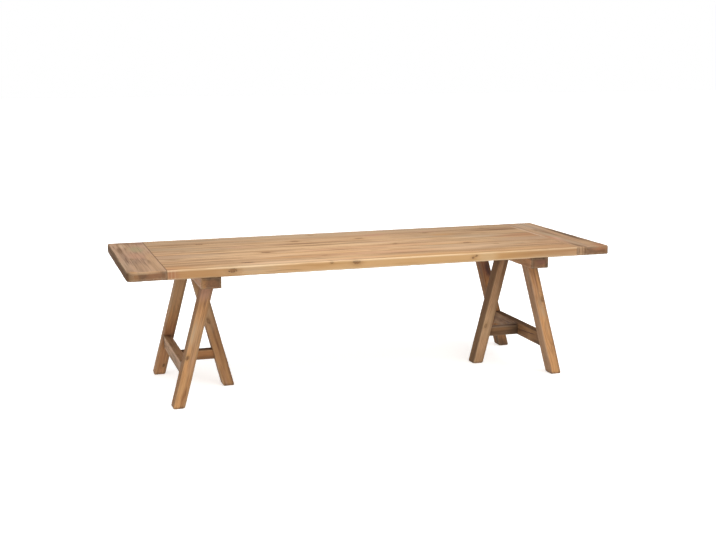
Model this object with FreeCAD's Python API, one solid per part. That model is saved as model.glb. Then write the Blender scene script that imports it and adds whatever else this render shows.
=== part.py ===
import FreeCAD, Part
import math
import os

# Trestle dining table in old pine. A loose plank top with breadboard ends lies on two trestles.
# Each trestle stands on three splayed legs: a pair on the outer side and one on the inner side,
# all tenoned into one cross beam and tied by a T of stretchers near the floor.
# The arrises are eased to small rounds, and the feet are bevelled so that they don't split.
# Millimetres. +X runs along the table, +Y to its back and +Z up. The origin is on the floor,
# under the middle of the top. Trestle pieces are worked out at the +X end and mirrored.

# Table top
TABLE_HEIGHT = 760.0
TOP_LENGTH = 2700.0
TOP_THICKNESS = 50.0
TOP_ARRIS = 6.0
TOP_CORNER = 14.0
SEAM_BEVEL = 1.5

# Field boards, from the front edge to the back edge
BOARD_1_WIDTH = 120.0
BOARD_2_WIDTH = 220.0
BOARD_3_WIDTH = 115.0
BOARD_4_WIDTH = 150.0
BOARD_5_WIDTH = 205.0
BOARD_6_WIDTH = 190.0

# Loose splines in the seams between the field boards
SPLINE_WIDTH = 24.0
SPLINE_THICKNESS = 10.0
SPLINE_STOP = 60.0
SPLINE_FIT = 0.15

# Breadboard ends: the field's tongue in a stopped groove, pegged from below in the middle
# and at an inset from both ends of the tongue
BREADBOARD_WIDTH = 200.0
TONGUE_LENGTH = 45.0
TONGUE_THICKNESS = 16.0
TONGUE_INSET = 35.0
TONGUE_FIT = 0.2
BREADBOARD_PEG_INSET = 195.0

# Trestle beam
TRESTLE_INSET = 425.0
BEAM_WIDTH = 105.0
BEAM_HEIGHT = 60.0
BEAM_SETBACK = 10.0
BEAM_ARRIS = 3.0

# Legs: a spread runs from the beam's centre line to the middle of the foot,
# and the inset from the beam's end to the near face of an outer leg
OUTER_FOOT_SPREAD = 172.0
INNER_FOOT_SPREAD = 166.0
OUTER_LEG_INSET = 95.0
LEG_THICKNESS = 62.0
LEG_WIDTH = 76.0
LEG_ARRIS = 3.5
FOOT_BEVEL = 3.0
LEG_TENON_THICKNESS = 24.0
LEG_TENON_WIDTH = 46.0
LEG_TENON_HEIGHT = 44.0

# Stretchers: a level is the height of a stretcher's middle above the floor
OUTER_STRETCHER_LEVEL = 195.0
OUTER_STRETCHER_HEIGHT = 76.0
OUTER_STRETCHER_THICKNESS = 44.0
OUTER_TENON_LENGTH = 45.0
OUTER_TENON_HEIGHT = 50.0
CROSS_STRETCHER_LEVEL = 188.0
CROSS_STRETCHER_HEIGHT = 55.0
CROSS_STRETCHER_THICKNESS = 54.0
CROSS_TENON_LENGTH = 28.0
CROSS_TENON_HEIGHT = 32.0
STRETCHER_TENON_THICKNESS = 20.0
STRETCHER_ARRIS = 3.0
TENON_FIT = 0.2

# Square pegs that lock the tenons, each blind and a little longer than its tenon needs
PEG_WIDTH = 9.0
PEG_PAST_TENON = 8.0
PEG_FIT = 0.1

# Dowels that keep the loose top from sliding on its trestles
DOWEL_DIAMETER = 20.0
DOWEL_SPACING = 420.0
DOWEL_PROUD = 25.0
DOWEL_SUNK = 35.0
DOWEL_NOSE = 3.0
DOWEL_FIT = 0.05
SOCKET_CLEARANCE = 0.3
SOCKET_RELIEF = 3.0

# Worked out from the sizes above
BOARD_WIDTHS = (
    BOARD_1_WIDTH,
    BOARD_2_WIDTH,
    BOARD_3_WIDTH,
    BOARD_4_WIDTH,
    BOARD_5_WIDTH,
    BOARD_6_WIDTH,
)
TOP_WIDTH = sum(BOARD_WIDTHS)
TOP_HALF_LENGTH = TOP_LENGTH / 2
TOP_HALF_WIDTH = TOP_WIDTH / 2
TOP_UNDERSIDE = TABLE_HEIGHT - TOP_THICKNESS
TOP_MIDDLE = TABLE_HEIGHT - TOP_THICKNESS / 2
SEAM_X = TOP_HALF_LENGTH - BREADBOARD_WIDTH
SEAMS_Y = [sum(BOARD_WIDTHS[:count]) - TOP_HALF_WIDTH for count in range(len(BOARD_WIDTHS) + 1)]
BEAM_X = TOP_HALF_LENGTH - TRESTLE_INSET
BEAM_BOTTOM = TOP_UNDERSIDE - BEAM_HEIGHT
BEAM_HALF_LENGTH = TOP_HALF_WIDTH - BEAM_SETBACK
OUTER_FOOT_X = BEAM_X + OUTER_FOOT_SPREAD
INNER_FOOT_X = BEAM_X - INNER_FOOT_SPREAD
OUTER_LEG_Y = BEAM_HALF_LENGTH - OUTER_LEG_INSET - LEG_WIDTH / 2
SAME_PLACE = 1e-6

V = FreeCAD.Vector
ALONG_X = V(1, 0, 0)
ALONG_Y = V(0, 1, 0)
ALONG_Z = V(0, 0, 1)


def near(a, b):
    """Whether two lengths are the same."""
    return abs(a - b) < SAME_PLACE


def block(x_low, x_high, y_low, y_high, z_low, z_high):
    """A square block between two corners."""
    return Part.makeBox(x_high - x_low, y_high - y_low, z_high - z_low, V(x_low, y_low, z_low))


def prism(corners, run):
    """A bar whose section is the polygon of the corners, swept along a vector."""
    section = Part.Face(Part.makePolygon(corners + corners[:1]))
    return section.extrude(run)


def edges_where(solid, test):
    """The edges of a solid whose end points all pass a test."""
    return [edge for edge in solid.Edges if all(test(vertex.Point) for vertex in edge.Vertexes)]


def peg(start, direction, length, fit=0.0):
    """A square peg driven along an axis from a point, or with fit the hole that takes it."""
    half = PEG_WIDTH / 2 + fit
    across = V(direction.z, direction.x, direction.y) * half
    beside = direction.cross(across)
    corners = [
        start + across + beside,
        start - across + beside,
        start - across - beside,
        start + across - beside,
    ]
    return prism(corners, direction * (length + fit))


def mirrored(shape):
    """The same piece at the table's other end."""
    return shape.mirror(V(0, 0, 0), ALONG_X)


def on_both_ends(shapes):
    """Cutting tools for the right end, with their mirror images for the left end."""
    return shapes + [mirrored(shape) for shape in shapes]


# Table top

def spline(seam_y, fit=0.0):
    """The loose spline in one seam, or with fit the groove that takes it."""
    half_length = SEAM_X - SPLINE_STOP + fit
    half_width = SPLINE_WIDTH / 2 + fit
    half_thickness = SPLINE_THICKNESS / 2 + fit
    return block(
        -half_length, half_length,
        seam_y - half_width, seam_y + half_width,
        TOP_MIDDLE - half_thickness, TOP_MIDDLE + half_thickness,
    )


def tongue(y_low, y_high, fit=0.0):
    """The field's tongue at the right end, or with fit the breadboard's groove."""
    y_low = max(y_low, TONGUE_INSET - TOP_HALF_WIDTH)
    y_high = min(y_high, TOP_HALF_WIDTH - TONGUE_INSET)
    half_thickness = TONGUE_THICKNESS / 2 + fit
    return block(
        SEAM_X - fit, SEAM_X + TONGUE_LENGTH + fit,
        y_low - fit, y_high + fit,
        TOP_MIDDLE - half_thickness, TOP_MIDDLE + half_thickness,
    )


def breadboard_pegs(fit=0.0):
    """The right breadboard's pegs, up through the tongue from the top's underside."""
    x = SEAM_X + TONGUE_LENGTH / 2
    length = (TOP_THICKNESS + TONGUE_THICKNESS) / 2 + PEG_PAST_TENON
    outer_y = TOP_HALF_WIDTH - TONGUE_INSET - BREADBOARD_PEG_INSET
    return [peg(V(x, y, TOP_UNDERSIDE), ALONG_Z, length, fit) for y in (-outer_y, 0.0, outer_y)]


def dowel_places(z):
    """Where the right trestle's locating dowels stand, at a height."""
    return [V(BEAM_X, side * DOWEL_SPACING / 2, z) for side in (-1, 1)]


def dowel_sockets():
    """The blind holes in the right half of the top that the locating dowels enter."""
    radius = DOWEL_DIAMETER / 2 + SOCKET_CLEARANCE
    depth = DOWEL_PROUD + SOCKET_RELIEF
    return [Part.makeCylinder(radius, depth, place, ALONG_Z) for place in dowel_places(TOP_UNDERSIDE)]


def seam_groove(start, run, across, outward):
    """A V groove along a seam, from a point on it in a face of the top."""
    return prism(
        [
            start - outward * SEAM_BEVEL,
            start + outward * SEAM_BEVEL + across * 2 * SEAM_BEVEL,
            start + outward * SEAM_BEVEL - across * 2 * SEAM_BEVEL,
        ],
        run,
    )


def seam_grooves():
    """The V grooves on both faces of the top, along and across the field."""
    grooves = []
    for z, outward in ((TABLE_HEIGHT, ALONG_Z), (TOP_UNDERSIDE, -ALONG_Z)):
        for y in SEAMS_Y[1:-1]:
            grooves.append(seam_groove(V(-SEAM_X, y, z), ALONG_X * 2 * SEAM_X, ALONG_Y, outward))
        across_end = seam_groove(V(SEAM_X, -TOP_HALF_WIDTH, z), ALONG_Y * TOP_WIDTH, ALONG_X, outward)
        grooves += on_both_ends([across_end])
    return grooves


def field_board(y_low, y_high):
    """One board of the field, with its tongues, grooves and holes."""
    board = block(-SEAM_X, SEAM_X, y_low, y_high, TOP_UNDERSIDE, TABLE_HEIGHT)
    rim = edges_where(board, lambda p: near(abs(p.y), TOP_HALF_WIDTH))
    rim = [edge for edge in rim if near(edge.Length, 2 * SEAM_X)]
    if rim:
        board = board.makeFillet(TOP_ARRIS, rim)
    board = board.fuse(on_both_ends([tongue(y_low, y_high)]))
    cuts = [spline(y, SPLINE_FIT) for y in SEAMS_Y[1:-1]]
    cuts += on_both_ends(breadboard_pegs(PEG_FIT) + dowel_sockets())
    return board.cut(cuts + seam_grooves())


def breadboard():
    """The right breadboard end, rounded on its three free sides."""
    board = block(SEAM_X, TOP_HALF_LENGTH, -TOP_HALF_WIDTH, TOP_HALF_WIDTH, TOP_UNDERSIDE, TABLE_HEIGHT)
    corners = edges_where(board, lambda p: near(p.x, TOP_HALF_LENGTH) and near(abs(p.y), TOP_HALF_WIDTH))
    corners = [edge for edge in corners if near(edge.Length, TOP_THICKNESS)]
    board = board.makeFillet(TOP_CORNER, corners)
    outline = edges_where(board, lambda p: near(p.z, TABLE_HEIGHT))
    outline += edges_where(board, lambda p: near(p.z, TOP_UNDERSIDE))
    rim = [edge for edge in outline if not all(near(v.X, SEAM_X) for v in edge.Vertexes)]
    board = board.makeFillet(TOP_ARRIS, rim)
    groove = tongue(-TOP_HALF_WIDTH, TOP_HALF_WIDTH, TONGUE_FIT)
    return board.cut([groove] + breadboard_pegs(PEG_FIT) + seam_grooves())


# Trestle, worked out for the right end

def axis_x(foot_x, z):
    """Where a leg's axis is at a height: it meets the beam's underside on its centre line."""
    return foot_x + (BEAM_X - foot_x) * z / BEAM_BOTTOM


def level_half(foot_x, thickness):
    """Half of the level width of a bar that is this thick square to a leg's axis."""
    return thickness / 2 / math.cos(math.atan2(BEAM_X - foot_x, BEAM_BOTTOM))


def leaning_bar(foot_x, y, thickness, width, z_low, z_high):
    """A bar along a leg's axis, cut level at both ends."""
    half = level_half(foot_x, thickness)
    low = axis_x(foot_x, z_low)
    high = axis_x(foot_x, z_high)
    front = y - width / 2
    corners = [
        V(low - half, front, z_low),
        V(low + half, front, z_low),
        V(high + half, front, z_high),
        V(high - half, front, z_high),
    ]
    return prism(corners, ALONG_Y * width)


def leg_blank(foot_x, y):
    """A leg up to its shoulder, before its tenon and mortise are cut."""
    bar = leaning_bar(foot_x, y, LEG_THICKNESS, LEG_WIDTH, 0.0, BEAM_BOTTOM)
    bar = bar.makeChamfer(FOOT_BEVEL, edges_where(bar, lambda p: near(p.z, 0.0)))
    arrises = [edge for edge in bar.Edges if edge.Length > BEAM_BOTTOM / 2]
    return bar.makeFillet(LEG_ARRIS, arrises)


def leg_tenon(foot_x, y, fit=0.0):
    """The tenon on a leg's head, or with fit the mortise in the beam."""
    return leaning_bar(
        foot_x, y,
        LEG_TENON_THICKNESS + 2 * fit, LEG_TENON_WIDTH + 2 * fit,
        BEAM_BOTTOM - fit, BEAM_BOTTOM + LEG_TENON_HEIGHT + fit,
    )


def legs():
    """The foot's X and the Y of each leg, by name."""
    return {
        "front_leg": (OUTER_FOOT_X, -OUTER_LEG_Y),
        "back_leg": (OUTER_FOOT_X, OUTER_LEG_Y),
        "inner_leg": (INNER_FOOT_X, 0.0),
    }


def beam_pegs(fit=0.0):
    """Pegs from the beam's inner side through the tenons of the legs."""
    start_x = BEAM_X - BEAM_WIDTH / 2
    z = BEAM_BOTTOM + LEG_TENON_HEIGHT / 2
    pegs = []
    for foot_x, y in legs().values():
        end_x = axis_x(foot_x, z) + level_half(foot_x, LEG_TENON_THICKNESS) + PEG_PAST_TENON
        pegs.append(peg(V(start_x, y, z), ALONG_X, end_x - start_x, fit))
    return pegs


def dowel_holes():
    """The holes in the beam's top that hold the locating dowels."""
    radius = DOWEL_DIAMETER / 2 + DOWEL_FIT
    depth = DOWEL_SUNK + DOWEL_FIT
    return [Part.makeCylinder(radius, depth, place, -ALONG_Z) for place in dowel_places(TOP_UNDERSIDE)]


def dowels():
    """The two locating dowels, each with a bevelled nose."""
    pieces = []
    for place in dowel_places(TOP_UNDERSIDE - DOWEL_SUNK):
        shank = Part.makeCylinder(DOWEL_DIAMETER / 2, DOWEL_SUNK + DOWEL_PROUD, place, ALONG_Z)
        rim = edges_where(shank, lambda p: near(p.z, TOP_UNDERSIDE + DOWEL_PROUD))
        pieces.append(shank.makeChamfer(DOWEL_NOSE, rim))
    return pieces


def beam():
    """The cross beam under the top, with its arrises eased."""
    bar = block(
        BEAM_X - BEAM_WIDTH / 2, BEAM_X + BEAM_WIDTH / 2,
        -BEAM_HALF_LENGTH, BEAM_HALF_LENGTH,
        BEAM_BOTTOM, TOP_UNDERSIDE,
    )
    bar = bar.makeFillet(BEAM_ARRIS, bar.Edges)
    mortises = [leg_tenon(foot_x, y, TENON_FIT) for foot_x, y in legs().values()]
    return bar.cut(mortises + beam_pegs(PEG_FIT) + dowel_holes())


OUTER_STRETCHER_X = axis_x(OUTER_FOOT_X, OUTER_STRETCHER_LEVEL)
OUTER_SHOULDER_Y = OUTER_LEG_Y - LEG_WIDTH / 2
CROSS_SHOULDER_X = OUTER_STRETCHER_X - OUTER_STRETCHER_THICKNESS / 2


def outer_tenons(fit=0.0):
    """The outer stretcher's two tenons, or with fit the mortises in the outer legs."""
    half_thickness = STRETCHER_TENON_THICKNESS / 2 + fit
    half_height = OUTER_TENON_HEIGHT / 2 + fit
    back = block(
        OUTER_STRETCHER_X - half_thickness, OUTER_STRETCHER_X + half_thickness,
        OUTER_SHOULDER_Y - fit, OUTER_SHOULDER_Y + OUTER_TENON_LENGTH + fit,
        OUTER_STRETCHER_LEVEL - half_height, OUTER_STRETCHER_LEVEL + half_height,
    )
    return [back, back.mirror(V(0, 0, 0), ALONG_Y)]


def inner_leg_face(z):
    """X of the inner leg's face towards the stretchers, at a height."""
    return axis_x(INNER_FOOT_X, z) + level_half(INNER_FOOT_X, LEG_THICKNESS)


def cross_tenon_ends(fit=0.0):
    """The cross stretcher's tenons, or with fit their mortises in the inner leg and outer stretcher."""
    low = CROSS_STRETCHER_LEVEL - CROSS_TENON_HEIGHT / 2 - fit
    high = CROSS_STRETCHER_LEVEL + CROSS_TENON_HEIGHT / 2 + fit
    half_thickness = STRETCHER_TENON_THICKNESS / 2 + fit
    reach = CROSS_TENON_LENGTH + fit
    corners = [
        V(inner_leg_face(low) - reach, -half_thickness, low),
        V(inner_leg_face(low) + fit, -half_thickness, low),
        V(inner_leg_face(high) + fit, -half_thickness, high),
        V(inner_leg_face(high) - reach, -half_thickness, high),
    ]
    in_leg = prism(corners, ALONG_Y * 2 * half_thickness)
    in_stretcher = block(
        CROSS_SHOULDER_X - fit, CROSS_SHOULDER_X + reach,
        -half_thickness, half_thickness,
        low, high,
    )
    return [in_leg, in_stretcher]


def outer_leg_pegs(fit=0.0):
    """Pegs from the inner side of the outer legs, trimmed flush with the leaning face."""
    start_x = OUTER_STRETCHER_X - LEG_THICKNESS
    end_x = OUTER_STRETCHER_X + STRETCHER_TENON_THICKNESS / 2 + PEG_PAST_TENON
    pegs = []
    for side in (-1, 1):
        y = side * (OUTER_SHOULDER_Y + OUTER_TENON_LENGTH / 2)
        whole = peg(V(start_x, y, OUTER_STRETCHER_LEVEL), ALONG_X, end_x - start_x, fit)
        pegs.append(whole.common(leg_blank(OUTER_FOOT_X, side * OUTER_LEG_Y)))
    return pegs


def inner_leg_peg(fit=0.0):
    """The peg from the back of the inner leg through the cross stretcher's tenon."""
    x = inner_leg_face(CROSS_STRETCHER_LEVEL) - CROSS_TENON_LENGTH / 2
    length = (LEG_WIDTH + STRETCHER_TENON_THICKNESS) / 2 + PEG_PAST_TENON
    return peg(V(x, LEG_WIDTH / 2, CROSS_STRETCHER_LEVEL), -ALONG_Y, length, fit)


def outer_stretcher_peg(fit=0.0):
    """The peg from below the outer stretcher through the cross stretcher's other tenon."""
    x = CROSS_SHOULDER_X + CROSS_TENON_LENGTH / 2
    underside = OUTER_STRETCHER_LEVEL - OUTER_STRETCHER_HEIGHT / 2
    end_z = CROSS_STRETCHER_LEVEL + CROSS_TENON_HEIGHT / 2 + PEG_PAST_TENON
    return peg(V(x, 0.0, underside), ALONG_Z, end_z - underside, fit)


def stretcher_pegs(fit=0.0):
    """All pegs of one trestle's stretchers, or with fit their holes."""
    return outer_leg_pegs(fit) + [inner_leg_peg(fit), outer_stretcher_peg(fit)]


def leg(foot_x, y):
    """A finished leg: tenon on its head, mortise and peg hole for the stretcher."""
    solid = leg_blank(foot_x, y).fuse(leg_tenon(foot_x, y))
    mortises = outer_tenons(TENON_FIT) + cross_tenon_ends(TENON_FIT)
    return solid.cut(mortises + beam_pegs(PEG_FIT) + stretcher_pegs(PEG_FIT))


def outer_stretcher():
    """The stretcher between the two outer legs."""
    bar = block(
        CROSS_SHOULDER_X, CROSS_SHOULDER_X + OUTER_STRETCHER_THICKNESS,
        -OUTER_SHOULDER_Y, OUTER_SHOULDER_Y,
        OUTER_STRETCHER_LEVEL - OUTER_STRETCHER_HEIGHT / 2,
        OUTER_STRETCHER_LEVEL + OUTER_STRETCHER_HEIGHT / 2,
    )
    arrises = [edge for edge in bar.Edges if near(edge.Length, 2 * OUTER_SHOULDER_Y)]
    bar = bar.makeFillet(STRETCHER_ARRIS, arrises).fuse(outer_tenons())
    return bar.cut(cross_tenon_ends(TENON_FIT) + stretcher_pegs(PEG_FIT))


def cross_stretcher():
    """The stretcher from the outer stretcher to the inner leg, its shoulder cut to the leg's lean."""
    low = CROSS_STRETCHER_LEVEL - CROSS_STRETCHER_HEIGHT / 2
    high = CROSS_STRETCHER_LEVEL + CROSS_STRETCHER_HEIGHT / 2
    front = -CROSS_STRETCHER_THICKNESS / 2
    corners = [
        V(inner_leg_face(low), front, low),
        V(CROSS_SHOULDER_X, front, low),
        V(CROSS_SHOULDER_X, front, high),
        V(inner_leg_face(high), front, high),
    ]
    bar = prism(corners, ALONG_Y * CROSS_STRETCHER_THICKNESS)
    arrises = [edge for edge in bar.Edges if near(abs(edge.tangentAt(edge.FirstParameter).x), 1.0)]
    bar = bar.makeFillet(STRETCHER_ARRIS, arrises).fuse(cross_tenon_ends())
    return bar.cut(stretcher_pegs(PEG_FIT))


# All pieces by node name

def table_top():
    """The pieces of the loose top."""
    nodes = {}
    for number, (y_low, y_high) in enumerate(zip(SEAMS_Y, SEAMS_Y[1:]), start=1):
        nodes[f"field_board_{number}"] = field_board(y_low, y_high)
    for number, seam_y in enumerate(SEAMS_Y[1:-1], start=1):
        nodes[f"field_spline_{number}"] = spline(seam_y).cut(on_both_ends(dowel_sockets()))
    nodes["right_breadboard"] = breadboard()
    nodes["left_breadboard"] = mirrored(breadboard())
    pegs = Part.makeCompound(breadboard_pegs())
    nodes["right_breadboard_pegs"] = pegs
    nodes["left_breadboard_pegs"] = mirrored(pegs)
    return nodes


def trestle():
    """The pieces of the right trestle."""
    nodes = {"beam": beam()}
    for name, (foot_x, y) in legs().items():
        nodes[name] = leg(foot_x, y)
    nodes["outer_stretcher"] = outer_stretcher()
    nodes["cross_stretcher"] = cross_stretcher()
    nodes["beam_pegs"] = Part.makeCompound(beam_pegs())
    nodes["stretcher_pegs"] = Part.makeCompound(stretcher_pegs())
    nodes["locating_dowels"] = Part.makeCompound(dowels())
    return nodes


def main():
    """Build every piece and write it to its own file."""
    nodes = table_top()
    for name, shape in trestle().items():
        nodes[f"right_{name}"] = shape
        nodes[f"left_{name}"] = mirrored(shape)
    os.makedirs("parts", exist_ok=True)
    for name, shape in nodes.items():
        if not shape.isValid():
            raise ValueError(f"{name} is not a valid solid")
        shape.exportStep(f"parts/{name}.step")


main()
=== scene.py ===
import math
from collections import namedtuple

import bmesh
import bpy
from mathutils import Matrix, Vector


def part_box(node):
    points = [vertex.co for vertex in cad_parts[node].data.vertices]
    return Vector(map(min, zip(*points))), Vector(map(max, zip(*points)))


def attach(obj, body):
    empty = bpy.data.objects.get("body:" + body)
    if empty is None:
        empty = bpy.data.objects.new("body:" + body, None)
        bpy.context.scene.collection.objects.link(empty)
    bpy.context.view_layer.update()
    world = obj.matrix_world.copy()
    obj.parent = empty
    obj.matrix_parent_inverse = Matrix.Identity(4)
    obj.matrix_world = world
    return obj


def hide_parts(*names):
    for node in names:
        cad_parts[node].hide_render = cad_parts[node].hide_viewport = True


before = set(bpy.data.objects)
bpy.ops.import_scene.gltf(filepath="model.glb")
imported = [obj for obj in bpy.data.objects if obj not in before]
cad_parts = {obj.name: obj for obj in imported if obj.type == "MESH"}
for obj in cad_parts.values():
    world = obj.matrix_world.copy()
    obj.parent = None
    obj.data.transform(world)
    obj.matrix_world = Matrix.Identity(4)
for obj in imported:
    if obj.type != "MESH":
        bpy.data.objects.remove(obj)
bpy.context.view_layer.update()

bl_info = {
    "name": "Old pine trestle table",
    "version": (1, 0, 0),
    "blender": (4, 5, 0),
    "location": "View3D > Sidebar > Table",
    "description": "Dresses the trestle table in worn timbers of old pine",
    "category": "Object",
}


def corners(node):
    """The lowest and the highest corner of a solid."""
    return [Vector(corner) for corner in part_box(node)]


# Sizes that the timbers share with the solids, in metres
BEAM_LOW, BEAM_HIGH = corners("right_beam")
BEAM_X = (BEAM_LOW.x + BEAM_HIGH.x) / 2
BEAM_BOTTOM = BEAM_LOW.z
TOP_LOW = corners("right_breadboard")[0]
SEAM_X = TOP_LOW.x
OUTER_FOOT_SPREAD = 0.172
INNER_FOOT_SPREAD = 0.166
LEG_THICKNESS = 0.062
OUTER_STRETCHER_LEVEL = 0.195
OUTER_STRETCHER_SIZE = (0.044, 0.076)
OUTER_STRETCHER_X = BEAM_X + OUTER_FOOT_SPREAD * (1 - OUTER_STRETCHER_LEVEL / BEAM_BOTTOM)
CROSS_STRETCHER_LEVEL = 0.188
CROSS_STRETCHER_SIZE = (0.054, 0.055)
SOCKET_RADIUS = 0.0103
SOCKET_DEPTH = 0.028
SOCKET_SEGMENTS = 40

SIDES = {"left": -1, "right": 1}

# How far a timber's end reaches into the timber that it is jointed to
HOUSED = 0.010


# Node trees

def maths(operation, swapped=False):
    """A method that adds a Math node, with the wire as its first value, or as its last if swapped."""
    def method(self, *others):
        values = (*others, self) if swapped else (self, *others)
        return self.node("ShaderNodeMath", {"operation": operation}, dict(enumerate(values)))
    return method


class Wire:
    """A socket of a node tree. Sums that are written with it add Math nodes to the tree."""

    def __init__(self, tree, socket=None):
        self.tree = tree
        self.socket = socket

    __add__ = maths("ADD")
    __radd__ = maths("ADD", swapped=True)
    __sub__ = maths("SUBTRACT")
    __rsub__ = maths("SUBTRACT", swapped=True)
    __mul__ = maths("MULTIPLY")
    __rmul__ = maths("MULTIPLY", swapped=True)
    __truediv__ = maths("DIVIDE")
    __pow__ = maths("POWER")
    __abs__ = maths("ABSOLUTE")
    least = maths("MINIMUM")
    most = maths("MAXIMUM")
    above = maths("GREATER_THAN")
    sign = maths("SIGN")
    fraction = maths("FRACT")

    def node(self, kind, settings=None, sockets=None, output=0):
        """A new node of a kind, with its settings made first and then its sockets' values or links."""
        node = self.tree.nodes.new(kind)
        for name, value in (settings or {}).items():
            setattr(node, name, value)
        for key, value in (sockets or {}).items():
            if isinstance(value, Wire):
                self.tree.links.new(value.socket, node.inputs[key])
            else:
                node.inputs[key].default_value = value
        return Wire(self.tree, node.outputs[output]) if node.outputs else Wire(self.tree)

    def out(self, name):
        """Another output of the same node."""
        return Wire(self.tree, self.socket.node.outputs[name])

    def ramp(self, low, high):
        """0 at low and 1 at high, with a smooth change between them."""
        sockets = {"Value": self, "From Min": low, "From Max": high}
        return self.node("ShaderNodeMapRange", {"interpolation_type": "SMOOTHSTEP"}, sockets)

    def xyz(self):
        """The three parts of a vector."""
        parts = self.node("ShaderNodeSeparateXYZ", None, {0: self})
        return parts, parts.out("Y"), parts.out("Z")

    def noise(self, along, across, detail=2.0, roughness=0.5):
        """Noise at a vector, with one scale along its first axis and one along the others."""
        scale = (along, across, across)
        place = self.node("ShaderNodeVectorMath", {"operation": "MULTIPLY"}, {0: self, 1: scale})
        sockets = {"Vector": place, "Scale": 1.0, "Detail": detail, "Roughness": roughness}
        return self.node("ShaderNodeTexNoise", None, sockets)

    def sway(self, *scales_and_detail):
        """Noise that swings to both sides of nought."""
        return self.noise(*scales_and_detail) - 0.5

    def blend(self, first, second):
        """Two colours mixed by this factor."""
        pair = [value if isinstance(value, Wire) else opaque(value) for value in (first, second)]
        return self.node("ShaderNodeMix", {"data_type": "RGBA"}, {0: self, 6: pair[0], 7: pair[1]}, 2)


def vector(x, y, z):
    """A vector of which at least one part is a wire."""
    wire = next(part for part in (x, y, z) if isinstance(part, Wire))
    return wire.node("ShaderNodeCombineXYZ", None, {0: x, 1: y, 2: z})


def opaque(colour):
    return (*colour, 1.0)


def fresh_tree(owner):
    """Empty the node tree of a material or a world, and give the wire that its nodes start from."""
    owner.use_nodes = True
    owner.node_tree.nodes.clear()
    return Wire(owner.node_tree)


def surface(start, sockets):
    """End the node tree of a material in a surface."""
    shader = start.node("ShaderNodeBsdfPrincipled", None, sockets)
    start.node("ShaderNodeOutputMaterial", None, {"Surface": shader})


def put(name, data):
    """A new object in the scene."""
    piece = bpy.data.objects.new(name, data)
    bpy.context.scene.collection.objects.link(piece)
    return piece


# Worn timber: a bar whose arrises are rounded unevenly and whose faces are slightly hollow

TIMBER_INPUTS = {
    "NodeSocketFloat": (
        "Length", "Width", "Thickness", "Front Arris", "Back Arris", "End Arris",
        "Front Corner", "Back Corner", "Wear", "Hollow", "Seed",
    ),
    "NodeSocketInt": ("Points Along", "Points Across", "Points Through"),
    "NodeSocketMaterial": ("Finish",),
}

# How timbers wear: scales of noise along and across, and its share of an arris's radius
WANDER_SCALE = (9.0, 1.5)
WANDER_SHARE = 2.4
CHIP_SCALE = (31.0, 2.5)
CHIP_START = 0.6
CHIP_SHARE = 7.0
HOLLOW_SCALE = (4.0, 3.0)
LEAST_ARRIS = 0.3
LEAST_END = 0.5


def crowded(place, half):
    """A place from -1 to 1 turned into a length, with the points crowded towards both ends."""
    inward = 1 - abs(place)
    return place.sign() * (1 - inward * inward) * half


def quarter_round(depth, radius):
    """How far a quarter round of a radius has drawn back at a depth below its end."""
    rest = (radius - depth).most(0.0)
    return radius - (radius * radius - rest * rest).most(0.0) ** 0.5


def wear_along(spot, wear):
    """How many times its radius an arris is worn to, as it drifts and chips along a vector's first part."""
    wander = spot.sway(*WANDER_SCALE)
    chips = (spot.noise(*CHIP_SCALE, 1.0) - CHIP_START).most(0.0)
    return 1 + wear * (wander * WANDER_SHARE + chips * CHIP_SHARE)


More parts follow.
